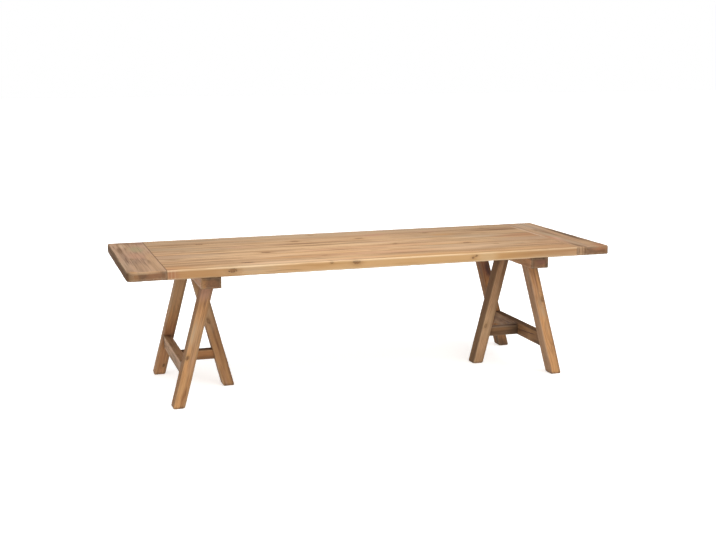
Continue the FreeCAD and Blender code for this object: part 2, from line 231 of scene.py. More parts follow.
def worn_timber_tree():
    """The node tree that shapes every timber: length along X, width along Y, thickness along Z."""
    name = "worn timber"
    if name in bpy.data.node_groups:
        return bpy.data.node_groups[name]
    tree = bpy.data.node_groups.new(name, "GeometryNodeTree")
    for kind, labels in TIMBER_INPUTS.items():
        for label in labels:
            tree.interface.new_socket(label, in_out="INPUT", socket_type=kind)
    tree.interface.new_socket("Timber", in_out="OUTPUT", socket_type="NodeSocketGeometry")
    start = Wire(tree)
    given = start.node("NodeGroupInput")

    bar = start.node("GeometryNodeMeshCube", None, {
        "Size": (2.0, 2.0, 2.0),
        "Vertices X": given.out("Points Along"),
        "Vertices Y": given.out("Points Across"),
        "Vertices Z": given.out("Points Through"),
    })
    along, across, through = start.node("GeometryNodeInputPosition").xyz()
    half_x, half_y, half_z = (given.out(name) * 0.5 for name in ("Length", "Width", "Thickness"))
    x = crowded(along, half_x)
    y = crowded(across, half_y)
    z = crowded(through, half_z)
    for label, value in (("timber", vector(x, y, z)), ("half", vector(half_x, half_y, half_z))):
        bar = start.node(
            "GeometryNodeStoreNamedAttribute",
            {"data_type": "FLOAT_VECTOR", "domain": "POINT"},
            {"Geometry": bar, "Name": label, "Value": value},
        )

    at_back = across.above(0.0)

    def front_to_back(name):
        front = given.out(f"Front {name}")
        return front + (given.out(f"Back {name}") - front) * at_back

    # Each arris has its own radius, which wanders along it and is deeper at a few chips.
    # The seed moves the noise, so that no two timbers wear alike
    seed = given.out("Seed")
    wear = given.out("Wear")
    spot = vector(x, across + seed * 3.7, through + seed * 1.3)
    radius = front_to_back("Arris") * wear_along(spot, wear).most(LEAST_ARRIS)
    core_y = half_y - radius
    core_z = half_z - radius
    inner_y = y.most(-1 * core_y).least(core_y)
    inner_z = z.most(-1 * core_z).least(core_z)
    out_y = y - inner_y
    out_z = z - inner_z
    reach = (out_y * out_y + out_z * out_z) ** 0.5
    pull = abs(out_y).most(abs(out_z)) / reach.most(1e-7)
    round_y = inner_y + out_y * pull
    round_z = inner_z + out_z * pull

    # The ends draw in by a quarter round, and in plan by the radius of each corner
    depth = half_x - abs(x)
    end = along.sign()
    corner_wear = wear_along(vector(z, end + seed * 2.3, at_back + seed), wear * 0.5)
    end_wear = wear_along(vector(y, end + seed * 4.1, through.sign() + seed), wear)
    drawn_y = quarter_round(depth, front_to_back("Corner") * corner_wear.most(LEAST_END))
    drawn_z = quarter_round(depth, given.out("End Arris") * end_wear.most(LEAST_END))

    # The faces are hollowed a little by use and by shrinking
    dip = spot.noise(*HOLLOW_SCALE, 3.0) * given.out("Hollow")
    shrunk_y = round_y * (1 - (drawn_y + dip) / half_y)
    shrunk_z = round_z * (1 - (drawn_z + dip) / half_z)
    shaped = vector(x, shrunk_y, shrunk_z)
    for kind, sockets in {
        "SetPosition": {"Position": shaped},
        "SetShadeSmooth": {"Shade Smooth": True},
        "RealizeInstances": {},
        "SetMaterial": {"Material": given.out("Finish")},
    }.items():
        bar = start.node(f"GeometryNode{kind}", None, {"Geometry": bar, **sockets})
    start.node("NodeGroupOutput", None, {"Timber": bar})
    return tree


def points_for(length, step):
    """How many points a side needs so that they are a step apart on average."""
    return max(9, 2 * round(length / step / 2) + 1)


def rounding(radius, **others):
    """One rounding for all of a timber's arrises and corners, apart from those that are named."""
    names = ("Front Arris", "Back Arris", "End Arris", "Front Corner", "Back Corner")
    return {name: others.get(name.lower().replace(" ", "_"), radius) for name in names}


def make_timber(node, body, finish, size, place, shape):
    """Shape one timber, finish it, put it in its place and let it stand for its solid."""
    settings = bpy.context.scene.table_timber
    look = LOOKS[node]
    values = {
        **dict(zip(("Length", "Width", "Thickness"), size)),
        "Points Along": points_for(size[0], settings.step),
        "Points Across": points_for(size[1], settings.step),
        "Points Through": points_for(size[2], settings.step / 2),
        "Wear": settings.wear,
        "Hollow": settings.hollow,
        "Seed": look["seed"],
        "Finish": pine(finish, **look),
        **shape,
    }
    piece = put(f"worn_{node}", bpy.data.meshes.new(f"worn_{node}"))
    tree = worn_timber_tree()
    modifier = piece.modifiers.new("worn timber", "NODES")
    modifier.node_group = tree
    for socket in tree.interface.items_tree:
        if socket.in_out == "INPUT":
            modifier[socket.identifier] = values[socket.name]
    settle(piece)
    piece.data.transform(place)
    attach(piece, body)
    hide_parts(node)
    return piece


def trestle_timber(node, size, place, shape):
    """Make a timber of the trestle that the name of its solid begins with."""
    body = node.split("_")[0] + "_trestle"
    finish = node.replace("_", " ") + " pine"
    make_timber(node, body, finish, size, place, shape)


def settle(piece):
    """Turn a piece's modifiers into its mesh, with one finish all over."""
    graph = bpy.context.evaluated_depsgraph_get()
    mesh = bpy.data.meshes.new_from_object(piece.evaluated_get(graph), depsgraph=graph)
    mesh.name = piece.name
    finish = next(material for material in mesh.materials if material)
    mesh.materials.clear()
    mesh.materials.append(finish)
    mesh.polygons.foreach_set("material_index", [0] * len(mesh.polygons))
    piece.modifiers.clear()
    spare = piece.data
    piece.data = mesh
    bpy.data.meshes.remove(spare)


def axes(along, across, through, middle):
    """The matrix that lays a timber's length, width and thickness along three directions."""
    matrix = Matrix((along, across, through)).transposed().to_4x4()
    matrix.translation = middle
    return matrix


# Old pine, with marks that are placed and measured in metres from the middle of a timber

# A knot on the "face" or the "edge", which may stay near the front (-1) or the back (1)
Knot = namedtuple("Knot", "where along aside size stretch tone near heart", defaults=(1.6, 0.8, 0, 0.25))

# A patch of colour that fades out, by its middle and its half sizes, and right through unless it has a
# height; most are stains, a few are painted light and a few painted shade, as noted where they are listed
Patch = namedtuple("Patch", "along across length width colour strength up tall", defaults=(0.0, None))

# Painted shade with some soil on a whole side of a timber, which reaches round its arrises; with a light
# colour it paints light instead
SideShadeAndSoil = namedtuple("SideShadeAndSoil", "side strength colour reach", defaults=(0.005,))

# A drying crack along the grain on the "face" or the "edge"
Crack = namedtuple("Crack", "where along aside length width slope", defaults=(0.0012, 0.0))

# Where the parts of a knot begin and are full, as shares of its size, and how deep it goes
KNOT_BEND = (3.2, 0.0)
KNOT_HALO = (3.4, 0.8)
KNOT_CORE = (1.15, 0.55)
BARK_INSIDE = (0.5, 0.95)
BARK_OUTSIDE = (0.95, 1.4)
KNOT_TREMBLE = 1.3
KNOT_DEPTH = (0.05, 0.02)

# Rings and cracks: scales of noise along and across the grain, and how far it moves them
RING = 0.0055
PITH_SCALE = (1.1, 3.0)
PITH_WANDER = 0.05
RING_SCALE = (6.0, 40.0)
RING_WANDER = 0.006
KNOT_PUSH = 0.02
LATE_WOOD = (0.35, 0.92)
RING_END = (0.92, 1.0)
CRACK_SCALE = (9.0, 3.0)
CRACK_WAVE = 0.012

# Where blotches and patches begin and are full, and how ragged patches are
BLOTCH = (0.02, 0.32)
BLUSH = (0.05, 0.37)
PATCH_FADE = (1.2, 0.2)
PATCH_RAGGED = 1.2

# Where end grain, rubbing with its painted highlight, seam dirt, and painted shade with soil begin and are
# full, by the distance to an end or an arris
END_DEPTH = (0.004, 0.0004)
RUBBED_HIGHLIGHT_WIDTH = (0.011, 0.004)
SEAM_WIDTH = (0.0045, 0.0008)
SHADE_AND_SOIL_FULL = 0.12

# Relief of the grain
PINE_RELIEF = {"Strength": 0.5, "Distance": 0.0006}
PEG_RELIEF = {"Strength": 0.4, "Distance": 0.0004}


def knot_marks(knots, timber, sides, tremble):
    """How far knots bend the rings at each place, and how much of their halo, wood and bark shows there."""
    x, y, z = timber
    bend, halo, core, bark = 0.0, 0.0, 0.0, 0.0
    for knot in (Knot(*row) for row in knots):
        aside = y if knot.where == "face" else z
        across = (aside - knot.aside) / knot.size
        length = (x - knot.along) / (knot.size * knot.stretch)
        far = (across * across + length * length) ** 0.5 + tremble * KNOT_TREMBLE
        shown = knot.tone
        if knot.near:
            side = "front" if knot.near < 0 else "back"
            shown = sides[side].ramp(*KNOT_DEPTH) * knot.tone
        rim = far.ramp(*BARK_INSIDE) * (1 - knot.heart) + knot.heart - far.ramp(*BARK_OUTSIDE)
        bend = far.ramp(*KNOT_BEND) * shown + bend
        halo = far.ramp(*KNOT_HALO) * shown + halo
        core = far.ramp(*KNOT_CORE) * shown + core
        bark = rim.most(0.0) * shown + bark
    return bend, halo, core, bark


def crack_marks(cracks, timber, grain):
    """How much of the cracks shows at each place."""
    x, y, z = timber
    split = 0.0
    for crack in (Crack(*row) for row in cracks):
        aside = y if crack.where == "face" else z
        run = x - crack.along
        wave = grain.sway(*CRACK_SCALE) * CRACK_WAVE
        off = abs(aside - crack.aside + wave + run * crack.slope)
        taper = abs(run).ramp(crack.length, crack.length * 0.5)
        split = off.ramp(crack.width, crack.width * 0.2) * taper + split
    return split


def growth_rings(timber, grain, pith, bend):
    """The late wood of growth rings: cylinders about a pith that wanders along the timber."""
    ring_y = timber[1] + pith[0]
    ring_z = timber[2] + pith[1]
    reach = (ring_y * ring_y + ring_z * ring_z) ** 0.5 + grain.sway(*PITH_SCALE) * PITH_WANDER
    turns = (reach + grain.sway(*RING_SCALE) * RING_WANDER + bend * KNOT_PUSH) / RING
    part = turns.fraction()
    return part.ramp(*LATE_WOOD) - part.ramp(*RING_END)


def waxed(start, colour, rough, height, relief):
    """End a material in waxed wood with a colour, a roughness and a height of its grain."""
    bump = start.node("ShaderNodeBump", None, {**relief, "Height": height})
    gloss = bpy.context.scene.table_pine.gloss
    sockets = {"Base Color": colour, "Roughness": rough, "Normal": bump, "Specular IOR Level": gloss}
    surface(start, sockets)


ALL_ROUND = ("front", "back", "left", "right")
NO_CHANGE = {}


def pine(
    name, light, seed, pith, streak=1.0, run=1.0, fine=1.0, blotch=1.0, rub_and_highlight=1.0, grime=NO_CHANGE,
    free=ALL_ROUND, knots=(), patches=(), cracks=(), side_shade_and_soil=(), end_shade=(), end_tone=0.35, end_patches=(),
):
    """Old pine on a timber: rings round the pith, streaks, knots, stained patches, cracks and worn arrises,
    with painted shade on some sides and near the ends, painted light and painted shade in a few patches,
    and a painted highlight along the worn free arrises.
    """
    settings = bpy.context.scene.table_pine
    material = bpy.data.materials.new(name)
    start = fresh_tree(material)
    (x, y, z), (half_x, half_y, half_z) = (
        start.node("ShaderNodeAttribute", {"attribute_name": name}, output="Vector").xyz()
        for name in ("timber", "half")
    )
    grain = vector(x * run + seed * 5.3, y * fine + seed * 1.7, z * fine + seed * 2.9)

    # Distances to the faces, and from them to the arrises and seams
    sides = {
        "front": half_y + y, "back": half_y - y, "left": half_x + x, "right": half_x - x,
        "over": half_z - z, "under": half_z + z,
    }
    face = sides["over"].least(sides["under"])
    long_side = face.least(sides["front"]).least(sides["back"])
    arris = {side: sides[side].most(face) for side in ("front", "back")}
    for side in ("left", "right"):
        arris[side] = sides[side].most(long_side)

    # Streaks along the grain from broad to fine, and clouds of grey, amber and pink
    broad = grain.sway(0.6, 14.0, 3.0, 0.55)
    plank = grain.sway(1.7, 33.0, 3.0, 0.6)
    narrow = grain.sway(1.4, 105.0, 2.0, 0.6)
    fibre = grain.sway(9.0, 620.0, 2.0, 0.6)
    cloud = grain.sway(1.4, 8.0, 3.0)
    blush = grain.sway(2.2, 18.0)
    tremble = grain.sway(55.0, 80.0)
    dashes = grain.noise(3.0, 70.0).ramp(0.56, 0.72)

    bend, halo, core, bark = knot_marks(knots, (x, y, z), sides, tremble)
    late = growth_rings((x, y, z), grain, pith, bend)
    dark = DARK_WOOD[light]
    tone = settings.tone - (broad * 2.2 + plank * 2.6 + narrow - dashes * 0.5) * streak
    colour = tone.most(0.0).least(1.0).blend(light, dark)
    detail = late * settings.ring_strength + (fibre + narrow) * settings.fibre_strength
    colour = detail.most(0.0).least(0.6).blend(colour, dark)
    fringe = narrow * 0.25
    colour = (cloud * blotch + fringe).ramp(*BLOTCH).blend(colour, settings.grey)
    colour = (fringe - cloud * blotch).ramp(*BLOTCH).blend(colour, settings.amber)
    colour = (blush * blotch + fringe).ramp(*BLUSH).blend(colour, settings.pink)
    ragged = (plank + cloud) * PATCH_RAGGED

    # Lays patches of colour: stains, and at the listed places painted light and painted shade
    def stained(colour, stains_light_and_shade):
        for patch in (Patch(*row) for row in stains_light_and_shade):
            length = (x - patch.along) / patch.length
            across = (y - patch.across) / patch.width
            far = length * length + across * across
            if patch.tall:
                height = (z - patch.up) / patch.tall
                far = far + height * height
            far = far ** 0.5 + ragged
            colour = (far.ramp(*PATCH_FADE) * patch.strength).blend(colour, patch.colour)
        return colour

    colour = stained(colour, patches)
    if knots:
        broken = (grain.noise(150.0, 210.0) * 2.4 + tremble - 0.7).ramp(0.1, 0.8)
        colour = (halo * 0.5).least(0.7).blend(colour, settings.knot_halo)
        colour = (core * 0.8).least(0.9).blend(colour, settings.knot)
        colour = (bark * broken * 0.9).least(0.9).blend(colour, settings.bark)
    split = crack_marks(cracks, (x, y, z), grain)
    if cracks:
        colour = split.least(1.0).blend(colour, settings.dirt)

    # Painted shade with some soil on whole sides, painted shade near the ends and in the joints, and the
    # end grain
    dull = 0.0
    for layer in (SideShadeAndSoil(*row) for row in side_shade_and_soil):
        cover = sides[layer.side].ramp(layer.reach, layer.reach * SHADE_AND_SOIL_FULL)
        cover = cover * (broad * 1.6 + plank + 0.9).ramp(0.2, 1.0) * layer.strength
        colour = cover.blend(colour, layer.colour)
        dull = cover + dull
    # Painted shade near the ends: where a rail meets the legs, at a leg's head under the beam and the top,
    # and at its foot on the floor
    for side, (strength, reach) in zip(("left", "right"), end_shade):
        cover = (sides[side] + plank * reach).ramp(reach, reach * SHADE_AND_SOIL_FULL)
        colour = (cover * strength).blend(colour, SOOT_AND_SHADE)
    end = sides["left"].least(sides["right"]).ramp(*END_DEPTH)
    end_colour = (late * 0.5 + plank * 2.2 + blush * 2.0 + 0.35).ramp(0.0, 1.0)
    end_colour = end_colour.blend(settings.end_light, settings.end_grain)
    colour = (end * (1 - end_tone)).blend(colour, end_colour)
    colour = stained(colour, end_patches)

    # Free arrises are rubbed pale, which also paints a highlight along them, and seams hold dirt
    for side, distance in arris.items():
        if side in free:
            rubbing_and_highlight = distance.ramp(*RUBBED_HIGHLIGHT_WIDTH) * (plank * 1.5 + narrow + 0.85).ramp(0.4, 1.0)
            colour = (rubbing_and_highlight * (settings.rubbed_and_highlighted * rub_and_highlight)).blend(colour, settings.pale)
        else:
            dirty = distance.ramp(*SEAM_WIDTH) * (broad * 1.4 + 0.85).ramp(0.3, 1.0)
            colour = (dirty * (settings.grime * grime.get(side, 1.0))).blend(colour, settings.dirt)

    rough = settings.roughness + broad * 0.25 + fibre * 0.2 + dull * 0.4
    height = fibre * 0.5 + narrow * 0.6 - late * 0.35 + core * 0.5 - split * 3.0
    waxed(start, colour, rough, height, PINE_RELIEF)
    return material


def peg_wood():
    """Split hardwood for the pegs, splines and dowels, with short streaks and dark flecks."""
    settings = bpy.context.scene.table_pine
    material = bpy.data.materials.new("peg wood")
    start = fresh_tree(material)
    place = start.node("ShaderNodeTexCoord", output="Object")
    cloud = place.sway(9.0, 9.0, 3.0)
    fleck = place.noise(260.0, 260.0, 2.0, 0.6)
    vein = place.noise(40.0, 40.0, 4.0, 0.65)
    colour = (vein * 0.7 + cloud * 0.8).ramp(0.15, 0.65).blend(settings.peg_light, settings.peg_dark)
    colour = (fleck.ramp(0.58, 0.7) * 0.6).blend(colour, settings.knot_halo)
    waxed(start, colour, 0.5 + vein * 0.2, vein + fleck, PEG_RELIEF)
    return material


# What each timber looks like: its own wood, seed, pith, knots, stains, cracks and soil, and the shade and
# light painted on it.
# A row of these holds the fields of a knot, a patch, a crack or a side's shade and soil, in their order

HONEY = (0.65, 0.415, 0.228)
STRAW = (0.685, 0.445, 0.245)
WHEAT = (0.575, 0.365, 0.2)
RUSSET = (0.52, 0.325, 0.205)
CEDAR = (0.555, 0.338, 0.188)
TAN = (0.63, 0.322, 0.132)
BROWN = (0.34, 0.178, 0.078)
# Very dark wood that paints the deep shade under the table on the right cross stretcher
DEEP_SHADE_BROWN = (0.195, 0.103, 0.048)
DUN = (0.6, 0.35, 0.185)
SIENNA = (0.52, 0.242, 0.092)
COPPER = (0.5, 0.258, 0.108)
PINK = (0.52, 0.27, 0.165)
ROSE = (0.64, 0.36, 0.25)
PALE = (0.68, 0.46, 0.245)
ASH = (0.44, 0.33, 0.225)
DRIFT = (0.6, 0.46, 0.34)
ORANGE = (0.56, 0.28, 0.1)
APRICOT = (0.66, 0.375, 0.145)
BLOOM = (0.74, 0.53, 0.36)
UMBER = (0.2, 0.105, 0.05)
# Dark brown that paints shade at the ends, on sides and under the top, and a few dark marks
SOOT_AND_SHADE = (0.1, 0.058, 0.031)
LOAM = (0.15, 0.08, 0.038)
HEATHER = (0.43, 0.31, 0.225)
BRICK = (0.34, 0.135, 0.06)
MULBERRY = (0.19, 0.075, 0.055)
PLUM = (0.085, 0.038, 0.034)
RUST = (0.44, 0.2, 0.095)
SAGE = (0.39, 0.3, 0.165)

# The dark wood that goes with each light one
DARK_WOOD = {
    HONEY: (0.3, 0.162, 0.077),
    STRAW: (0.33, 0.185, 0.088),
    WHEAT: (0.265, 0.14, 0.066),
    RUSSET: (0.15, 0.078, 0.044),
    CEDAR: (0.185, 0.092, 0.047),
    TAN: (0.215, 0.088, 0.033),
    BROWN: (0.12, 0.052, 0.022),
    DEEP_SHADE_BROWN: (0.075, 0.036, 0.017),
    DUN: (0.22, 0.108, 0.048),
    SIENNA: (0.18, 0.07, 0.024),
    COPPER: (0.18, 0.076, 0.029),
}

# What the timbers of a kind have in common
FIELD_GRAIN = dict(streak=1.6, free=(), grime={"left": 0.7, "right": 0.1})
BREADBOARD_GRAIN = dict(free=("front", "left", "right"), rub_and_highlight=0.3)
BEAM_GRAIN = dict(streak=1.4, run=2.4, fine=1.5, rub_and_highlight=0.2)
# Painted shade at the ends: at both ends of a rail where it meets the legs, and at a leg's foot and its
# head under the beam and the top
RAIL_GRAIN = dict(BEAM_GRAIN, end_shade=((0.6, 0.085), (0.6, 0.085)))
LEG_GRAIN = dict(BEAM_GRAIN, streak=1.2, end_shade=((0.6, 0.02), (0.5, 0.085)))
FOOT_SHADE = ((0.6, 0.02),)
# Painted shade on a leg's sides: a darker right edge, and a darker left face with some soil
SHADED_EDGE = ("under", 0.65, UMBER, 0.022)
SIDE_SHADE_AND_SOIL = (("over", 0.62, SOOT_AND_SHADE), SHADED_EDGE)
FAINT_SHADE_AND_SOIL = (("over", 0.4, SOOT_AND_SHADE), SHADED_EDGE)
TRACE_SHADE_AND_SOIL = (("over", 0.15, SOOT_AND_SHADE), SHADED_EDGE)

LOOKS = {}

LOOKS["field_board_1"] = dict(
    FIELD_GRAIN, light=STRAW, seed=1.0, pith=(0.05, -0.1), free=("front",), rub_and_highlight=1.6,
    knots=(
        ("edge", -0.814, 0.007, 0.01, 2.0, 1.0, -1, 0.35), ("edge", -0.287, 0.018, 0.006, 1.3, 0.7, -1),
        ("edge", -0.15, 0.013, 0.01, 1.8, 1.0, -1, 0.35), ("edge", 0.516, -0.001, 0.006, 1.4, 0.7, -1, 0.6),
        ("edge", 0.534, 0.009, 0.005, 1.5, 0.7, -1, 0.6), ("face", -0.71, 0.05, 0.013, 2.6, 1.0, 0, 0.8),
    ),
    patches=(
        (0.15, -0.062, 1.15, 0.012, APRICOT, 0.6), (-1.1, -0.02, 0.09, 0.09, ORANGE, 0.45),
        (-1.12, 0.0, 0.25, 0.15, RUST, 0.2), (1.12, 0.0, 0.25, 0.15, RUST, 0.45),
        (0.9, 0.0, 0.35, 0.1, ORANGE, 0.4), (-0.97, -0.06, 0.24, 0.03, ORANGE, 0.75),
        (-0.97, -0.06, 0.28, 0.03, UMBER, 0.18), (1.0, -0.06, 0.28, 0.03, BROWN, 0.35),
        (-0.55, 0.0, 0.3, 0.06, BLOOM, 0.3), (-0.45, -0.06, 0.2, 0.03, ORANGE, 0.3),
        (-1.132, -0.06, 0.05, 0.04, RUST, 1.0),
        *((along, -0.06, 0.004, 0.012, PALE, 0.3) for along in (-1.146, -1.127, -1.109)),
        (0.6, -0.06, 0.06, 0.012, PALE, 0.6),
    ),
    cracks=(("face", 0.62, 0.012, 0.16), ("edge", -0.55, -0.008, 0.12, 0.001)),
)

LOOKS["field_board_2"] = dict(
    FIELD_GRAIN, light=HONEY, seed=2.0, pith=(-0.02, -0.16),
    knots=(("face", -0.27, -0.03, 0.008, 1.8, 0.7), ("face", 0.78, 0.045, 0.009, 1.6, 0.55)),
    patches=(
        (1.12, 0.0, 0.25, 0.15, RUST, 0.3), (-1.07, 0.08, 0.07, 0.03, UMBER, 0.5),
        (1.05, 0.05, 0.1, 0.02, UMBER, 0.45), (0.05, -0.03, 0.35, 0.05, PINK, 0.3),
        (0.58, 0.0, 0.3, 0.1, BLOOM, 0.25),
    ),
    cracks=(("face", -0.86, 0.06, 0.22),),
)

LOOKS["field_board_3"] = dict(
    FIELD_GRAIN, light=HONEY, seed=3.0, pith=(0.04, -0.09),
    knots=(
        ("face", -0.55, -0.008, 0.013, 1.9, 1.0, 0, 0.5),
        ("face", 0.63, -0.04, 0.011, 2.0, 0.9, 0, 0.5), ("face", 0.22, 0.048, 0.008, 1.6, 0.8),
    ),
    patches=(
        (-0.5, -0.01, 0.12, 0.03, UMBER, 0.35), (-1.12, 0.0, 0.28, 0.15, RUST, 0.5),
        (-1.05, 0.0, 0.3, 0.15, ASH, 0.4), (0.1, 0.0, 0.45, 0.1, RUST, 0.25),
        (1.12, 0.0, 0.3, 0.15, RUST, 0.5), (1.05, 0.0, 0.3, 0.15, ASH, 0.4),
    ),
)

LOOKS["field_board_4"] = dict(
    FIELD_GRAIN, light=STRAW, seed=4.0, pith=(-0.03, -0.13),
    knots=(("face", 0.23, -0.06, 0.007, 1.6, 0.6), ("face", -0.98, 0.02, 0.007, 1.7, 0.5)),
    patches=(
        (0.82, 0.04, 0.22, 0.05, ASH, 0.55), (0.42, -0.02, 0.16, 0.03, PINK, 0.3),
        (-1.12, 0.0, 0.28, 0.15, RUST, 0.3), (1.12, 0.0, 0.26, 0.15, RUST, 0.6),
        (-0.52, 0.0, 0.32, 0.12, UMBER, 0.1), (0.52, 0.0, 0.32, 0.12, UMBER, 0.1),
        (1.05, 0.0, 0.3, 0.12, UMBER, 0.12),
    ),
    cracks=(("face", 0.33, -0.04, 0.25),),
)

LOOKS["field_board_5"] = dict(
    FIELD_GRAIN, light=WHEAT, seed=5.0, pith=(0.02, -0.1),
    knots=(
        ("face", -0.85, 0.086, 0.012, 1.6, 1.0, 0, 0.5),
        ("face", -0.3, 0.02, 0.015, 1.7, 1.0, 0, 0.5), ("face", 0.09, 0.005, 0.012, 1.8, 0.9, 0, 0.5),
        ("face", 0.54, 0.092, 0.011, 1.5, 0.9, 0, 0.5),
    ),
    patches=(
        (0.61, -0.01, 0.1, 0.04, ORANGE, 0.55), (0.2, 0.09, 0.08, 0.03, PINK, 0.7),
        (-1.05, 0.0, 0.3, 0.15, UMBER, 0.12), (0.52, 0.0, 0.32, 0.15, UMBER, 0.12),
    ),
)

LOOKS["field_board_6"] = dict(
    FIELD_GRAIN, light=WHEAT, seed=6.0, pith=(0.0, -0.14),
    knots=(("face", -0.15, 0.02, 0.01, 1.6, 0.7), ("face", 0.95, -0.03, 0.009, 1.7, 0.6)),
    patches=(
        (0.24, -0.07, 0.09, 0.03, PINK, 0.6), (-0.85, -0.06, 0.35, 0.03, UMBER, 0.3),
        # The last patch makes the top's far back edge darker
        (0.0, 0.03, 1.6, 0.1, ASH, 0.4), (0.0, 0.1, 1.6, 0.022, UMBER, 0.9),
    ),
)

LOOKS["left_breadboard"] = dict(
    BREADBOARD_GRAIN, light=RUSSET, seed=11.0, pith=(0.3, 0.02), streak=1.5, blotch=0.7,
    # The layer on the front side gives the outer end face painted shade with some soil
    grime={"back": 0.7}, side_shade_and_soil=(("front", 0.95, LOAM),),
    knots=(("face", 0.1, -0.03, 0.008, 2.0, 0.5),),
    patches=(
        (-0.22, 0.035, 0.11, 0.05, SAGE, 0.8), (0.0, 0.0, 0.12, 0.05, PINK, 0.55),
        (-0.2, -0.062, 0.1, 0.02, UMBER, 0.6), (-0.37, -0.03, 0.1, 0.018, BLOOM, 0.4),
        (-0.46, 0.02, 0.06, 0.09, UMBER, 0.4), (-0.42, 0.075, 0.06, 0.03, MULBERRY, 0.4),
        (0.49, -0.07, 0.03, 0.03, ORANGE, 0.6), (0.505, 0.02, 0.012, 0.05, ORANGE, 0.4),
        (0.3, 0.075, 0.3, 0.03, WHEAT, 0.3), (0.38, 0.0, 0.2, 0.12, CEDAR, 0.45),
    ),
    cracks=(("face", 0.25, -0.035, 0.22), ("face", -0.22, 0.045, 0.16)),
    end_tone=0.15, end_patches=(
        (0.5, 0.0, 0.012, 0.14, UMBER, 0.3), (0.5, -0.08, 0.02, 0.026, BROWN, 0.6),
        (0.5, -0.05, 0.015, 0.01, UMBER, 0.7), (0.5, 0.03, 0.012, 0.05, RUST, 0.3),
        (0.5, -0.02, 0.012, 0.08, WHEAT, 0.5, 0.026, 0.008),
    ),
)

LOOKS["right_breadboard"] = dict(
    BREADBOARD_GRAIN, light=CEDAR, seed=14.0, pith=(0.34, -0.02), streak=1.2,
    # The layer on the front side gives the outer end face painted shade with some soil
    grime={"back": 0.1}, side_shade_and_soil=(("front", 0.8, SOOT_AND_SHADE),),
    knots=(("face", 0.18, 0.02, 0.009, 2.0, 0.6),),
    patches=(
        (-0.46, -0.06, 0.07, 0.05, RUST, 0.8), (-0.15, 0.05, 0.1, 0.03, ROSE, 0.9),
        (-0.12, 0.07, 0.12, 0.03, RUST, 0.5), (0.1, 0.095, 0.28, 0.01, BLOOM, 0.7),
        (-0.36, -0.03, 0.1, 0.03, WHEAT, 0.6), (0.34, 0.0, 0.22, 0.12, DRIFT, 0.35),
        (0.0, -0.074, 0.7, 0.014, UMBER, 0.7), (-0.02, -0.07, 0.25, 0.014, SOOT_AND_SHADE, 0.8),
    ),
    cracks=(("face", -0.1, -0.05, 0.3), ("face", 0.3, 0.03, 0.15)),
    end_tone=0.28, end_patches=(
        (-0.5, 0.075, 0.015, 0.035, CEDAR, 0.7), (-0.5, 0.088, 0.015, 0.005, UMBER, 0.7),
        (-0.5, 0.068, 0.015, 0.005, UMBER, 0.6), (-0.5, 0.05, 0.015, 0.007, UMBER, 0.9),
        (-0.5, -0.04, 0.015, 0.08, RUST, 0.6, 0.014, 0.014),
        (-0.5, -0.04, 0.015, 0.08, UMBER, 0.6, -0.018, 0.014),
    ),
)

LOOKS["left_front_leg"] = dict(
    LEG_GRAIN, light=TAN, seed=21.0, side_shade_and_soil=FAINT_SHADE_AND_SOIL, end_shade=FOOT_SHADE, pith=(0.1, 0.05),
    knots=(("edge", -0.057, 0.02, 0.008, 1.3, 1.0, -1, 0.8),),
    # The rose patch at the head is painted light, which lifts the shade under the beam and the top
    patches=((0.3, -0.038, 0.07, 0.07, ROSE, 0.6), (0.05, -0.038, 0.12, 0.05, STRAW, 0.3)),
)

LOOKS["left_back_leg"] = dict(
    LEG_GRAIN, light=TAN, seed=22.0, side_shade_and_soil=TRACE_SHADE_AND_SOIL, pith=(-0.09, 0.06),
    knots=(("edge", -0.275, -0.01, 0.006, 1.6, 1.0, -1, 0.9),),
    patches=(
        (-0.09, -0.038, 0.11, 0.06, BRICK, 0.6), (-0.27, -0.038, 0.12, 0.06, RUST, 0.5),
        # The straw patch paints light over the upper part in the shade of the top; the small umber patch
        # paints the shade above the stretcher
        (0.18, -0.038, 0.2, 0.06, STRAW, 0.6), (-0.105, -0.038, 0.02, 0.05, UMBER, 0.8),
    ),
)

LOOKS["left_inner_leg"] = dict(
    LEG_GRAIN, light=COPPER, seed=23.0, side_shade_and_soil=TRACE_SHADE_AND_SOIL, pith=(0.08, -0.07),
    knots=(("edge", 0.05, 0.01, 0.009, 1.6, 0.8, -1),),
    # The straw patch paints light where the front leg shades this leg at their crossing
    patches=((0.15, -0.038, 0.14, 0.07, STRAW, 0.7),),
)

LOOKS["right_front_leg"] = dict(
    LEG_GRAIN, light=TAN, seed=24.0, side_shade_and_soil=(("over", 0.45, HEATHER, 0.014), SHADED_EDGE),
    end_shade=FOOT_SHADE, pith=(-0.11, 0.04),
    knots=(("edge", 0.12, -0.016, 0.009, 1.8, 0.8, -1),),
)

LOOKS["right_back_leg"] = dict(
    LEG_GRAIN, light=SIENNA, blotch=0.5, seed=25.0, side_shade_and_soil=FAINT_SHADE_AND_SOIL, pith=(0.09, 0.05),
    patches=(
        (0.19, -0.038, 0.08, 0.06, MULBERRY, 0.5), (0.18, -0.038, 0.06, 0.06, PLUM, 0.85, -0.014, 0.026),
        (-0.33, -0.038, 0.11, 0.07, SOOT_AND_SHADE, 0.85),
    ),
)

LOOKS["right_inner_leg"] = dict(
    LEG_GRAIN, light=DUN, seed=56.0, side_shade_and_soil=SIDE_SHADE_AND_SOIL, pith=(-0.07, -0.08),
    knots=(("edge", -0.1, 0.012, 0.008, 1.6, 0.6, -1),),
    patches=((-0.09, -0.038, 0.12, 0.06, STRAW, 0.5), (-0.29, -0.038, 0.08, 0.06, UMBER, 0.3)),
)

